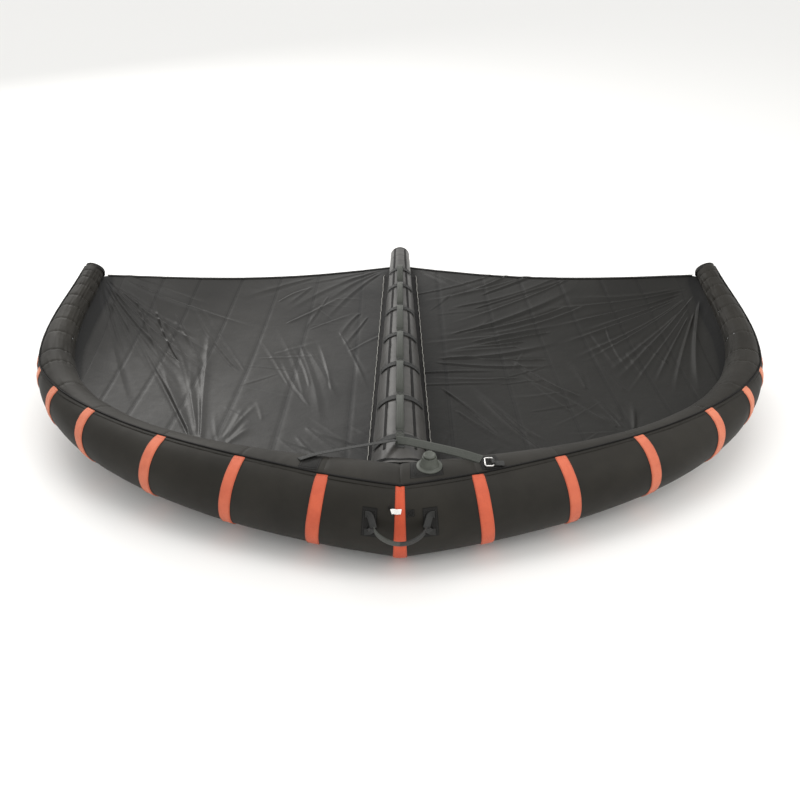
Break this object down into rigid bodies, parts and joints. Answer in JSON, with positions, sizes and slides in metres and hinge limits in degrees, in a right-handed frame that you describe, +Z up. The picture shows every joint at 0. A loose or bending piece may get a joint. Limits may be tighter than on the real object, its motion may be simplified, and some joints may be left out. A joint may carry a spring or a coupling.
{
  "type": "inflatable hand-held wing",
  "caption": "Inflatable hand-held wing on its back: curved tapered leading-edge tube, centre strut with grip loops, slack cloth canopy, strap with ring, and air valve.",
  "frame": {"origin": "on the floor under the middle of the wing's outline, with the wing lying on its back", "axes": "+X to the wing's right as seen from the leading edge looking aft, +Y from the leading edge to the strut's rear end, +Z up from the floor towards the handles"},
  "size_m": [2.3936, 2.0992, 0.3599],
  "materials": {
    "tube_cloth": "matte woven polyester cloth, black to dark grey",
    "canopy_cloth": "thin ripstop cloth, slightly glossy, creased",
    "orange_tape": "woven reinforcing tape, orange",
    "black_trim": "black sewn tape and reinforcing cloth",
    "webbing": "ribbed grey-green webbing",
    "clear_film": "translucent bladder film",
    "ring_metal": "light brushed metal",
    "valve_plastic": "moulded grey-green plastic",
    "valve_rubber": "black rubber disc",
    "white_tag": "plain white folded label, blank"
  },
  "bodies": {
    "wing": {"le_panel_l1": "tube_cloth", "le_panel_l2": "tube_cloth", "le_panel_l3": "tube_cloth", "le_panel_l4": "tube_cloth", "le_panel_l5": "tube_cloth", "le_panel_l6": "tube_cloth", "le_tip_l": "tube_cloth", "le_panel_r1": "tube_cloth", "le_panel_r2": "tube_cloth", "le_panel_r3": "tube_cloth", "le_panel_r4": "tube_cloth", "le_panel_r5": "tube_cloth", "le_panel_r6": "tube_cloth", "le_tip_r": "tube_cloth", "seam_band_mid": "orange_tape", "seam_band_l1": "orange_tape", "seam_band_l2": "orange_tape", "seam_band_l3": "orange_tape", "seam_band_l4": "orange_tape", "seam_band_l5": "orange_tape", "seam_band_l6": "orange_tape", "seam_band_r1": "orange_tape", "seam_band_r2": "orange_tape", "seam_band_r3": "orange_tape", "seam_band_r4": "orange_tape", "seam_band_r5": "orange_tape", "seam_band_r6": "orange_tape", "tip_bands": "orange_tape", "le_piping": "black_trim", "tip_cap_l": "black_trim", "tip_cap_r": "black_trim", "le_bladder": "clear_film", "strut_casing": "tube_cloth", "strut_bladder": "clear_film", "strut_end_cap": "black_trim", "strut_webbing": "webbing", "strut_cross_straps": "webbing", "v_strap_l": "webbing", "v_strap_r": "webbing", "v_strap_anchors": "black_trim", "ring_loop": "black_trim", "valve_base": "valve_plastic", "canopy_l": "canopy_cloth", "canopy_r": "canopy_cloth", "trailing_hem": "black_trim", "strut_skirts": "black_trim", "front_handle_patches": "black_trim", "tag_loop": "black_trim", "air_hose": "clear_film"},
    "handle_1": {"strut_handle_1": "webbing"},
    "handle_2": {"strut_handle_2": "webbing"},
    "handle_3": {"strut_handle_3": "webbing"},
    "handle_4": {"strut_handle_4": "webbing"},
    "handle_5": {"strut_handle_5": "webbing"},
    "handle_6": {"strut_handle_6": "webbing"},
    "front_grip": {"front_handle": "webbing"},
    "ring": {"strap_ring": "ring_metal"},
    "cap": {"valve_cap": "valve_plastic"},
    "plunger": {"valve_plunger": "valve_rubber"},
    "tag": {"pull_tag": "white_tag"}
  },
  "joints": [
    {"name": "handle_1_lean", "type": "hinge", "parent": "wing", "child": "handle_1", "pos_m": [0, -0.61211, 0.21102], "axis": [0, 0.998, -0.0637], "range_deg": [-35, 35], "stiffness_Nm_per_rad": 0.02},
    {"name": "handle_2_lean", "type": "hinge", "parent": "wing", "child": "handle_2", "pos_m": [0, -0.37411, 0.19583], "axis": [0, 0.998, -0.0637], "range_deg": [-35, 35], "stiffness_Nm_per_rad": 0.02},
    {"name": "handle_3_lean", "type": "hinge", "parent": "wing", "child": "handle_3", "pos_m": [0, -0.13611, 0.18063], "axis": [0, 0.998, -0.0637], "range_deg": [-35, 35], "stiffness_Nm_per_rad": 0.02},
    {"name": "handle_4_lean", "type": "hinge", "parent": "wing", "child": "handle_4", "pos_m": [0, 0.10189, 0.16544], "axis": [0, 0.998, -0.0637], "range_deg": [-35, 35], "stiffness_Nm_per_rad": 0.02},
    {"name": "handle_5_lean", "type": "hinge", "parent": "wing", "child": "handle_5", "pos_m": [0, 0.3399, 0.15024], "axis": [0, 0.998, -0.0637], "range_deg": [-35, 35], "stiffness_Nm_per_rad": 0.02},
    {"name": "handle_6_lean", "type": "hinge", "parent": "wing", "child": "handle_6", "pos_m": [0, 0.57789, 0.13505], "axis": [0, 0.998, -0.0637], "range_deg": [-35, 35], "stiffness_Nm_per_rad": 0.02},
    {"name": "front_grip_lift", "type": "hinge", "parent": "wing", "child": "front_grip", "pos_m": [0, -0.9996, 0.17322], "axis": [-1, 0, 0], "range_deg": [-45, 65]},
    {"name": "ring_lift", "type": "hinge", "parent": "wing", "child": "ring", "pos_m": [0.249, -0.8251, 0.2561], "axis": [0, 1, 0], "range_deg": [0, 100]},
    {"name": "cap_open", "type": "hinge", "parent": "wing", "child": "cap", "pos_m": [0.078, -0.8161, 0.285], "axis": [-1, 0, 0], "range_deg": [0, 135]},
    {"name": "plunger_press", "type": "slide", "parent": "wing", "child": "plunger", "axis": [0, 0, -1], "range_m": [0, 0.004], "stiffness_N_per_m": 300},
    {"name": "tag_swing", "type": "hinge", "parent": "wing", "child": "tag", "pos_m": [-0.028, -0.96291, 0.2117], "axis": [-1, 0, 0], "range_deg": [0, 60]}
  ]
}
